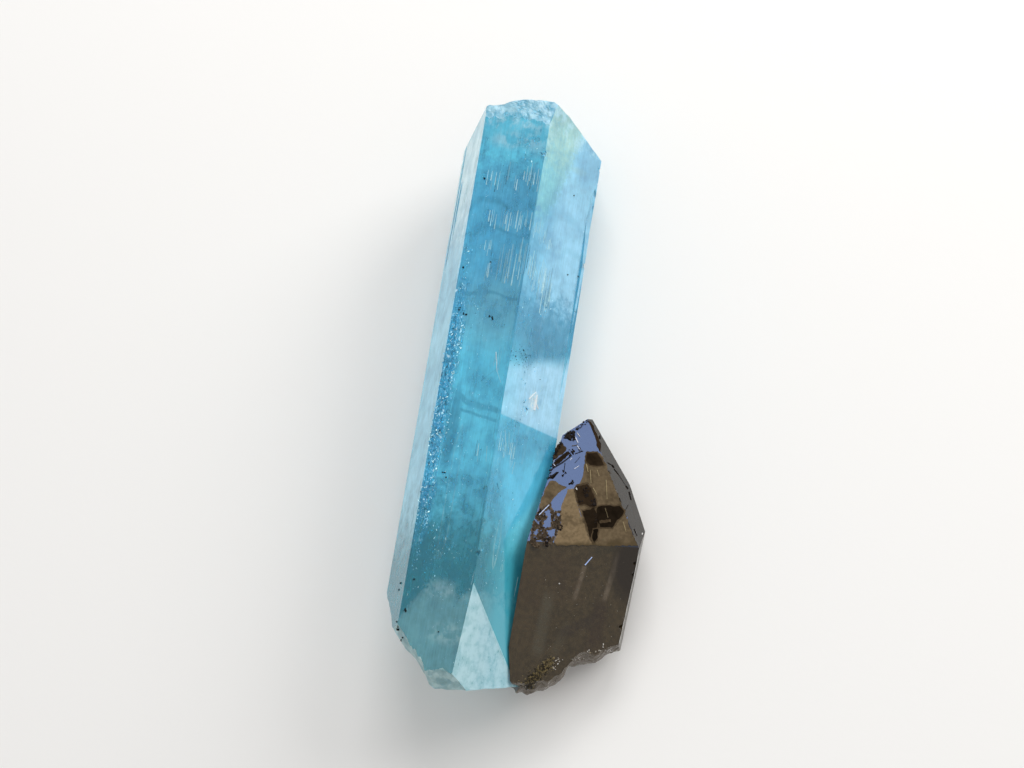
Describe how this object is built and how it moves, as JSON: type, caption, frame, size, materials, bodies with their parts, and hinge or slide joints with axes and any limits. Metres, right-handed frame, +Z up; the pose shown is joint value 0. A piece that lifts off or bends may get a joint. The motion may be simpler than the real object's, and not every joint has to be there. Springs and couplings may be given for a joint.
{
  "type": "aquamarine crystal specimen",
  "caption": "Long six-sided clear blue aquamarine crystal lying on a prism face, with a short pointed smoky quartz crystal grown onto its side.",
  "frame": {"origin": "on the prism face that the aquamarine lies on, under its long axis", "axes": "+Z up, +Y along the aquamarine towards its finished end, +X towards the smoky quartz"},
  "size_m": [0.0333, 0.0814, 0.0178],
  "materials": {
    "aquamarine": "clear blue beryl, glossy prism faces, etched end and frosted breaks",
    "smoky_quartz": "clear dark brown quartz, glossy faces, shell-like breaks"
  },
  "bodies": {
    "root": {"aquamarine": "aquamarine", "smoky_quartz": "smoky_quartz"}
  },
  "joints": []
}
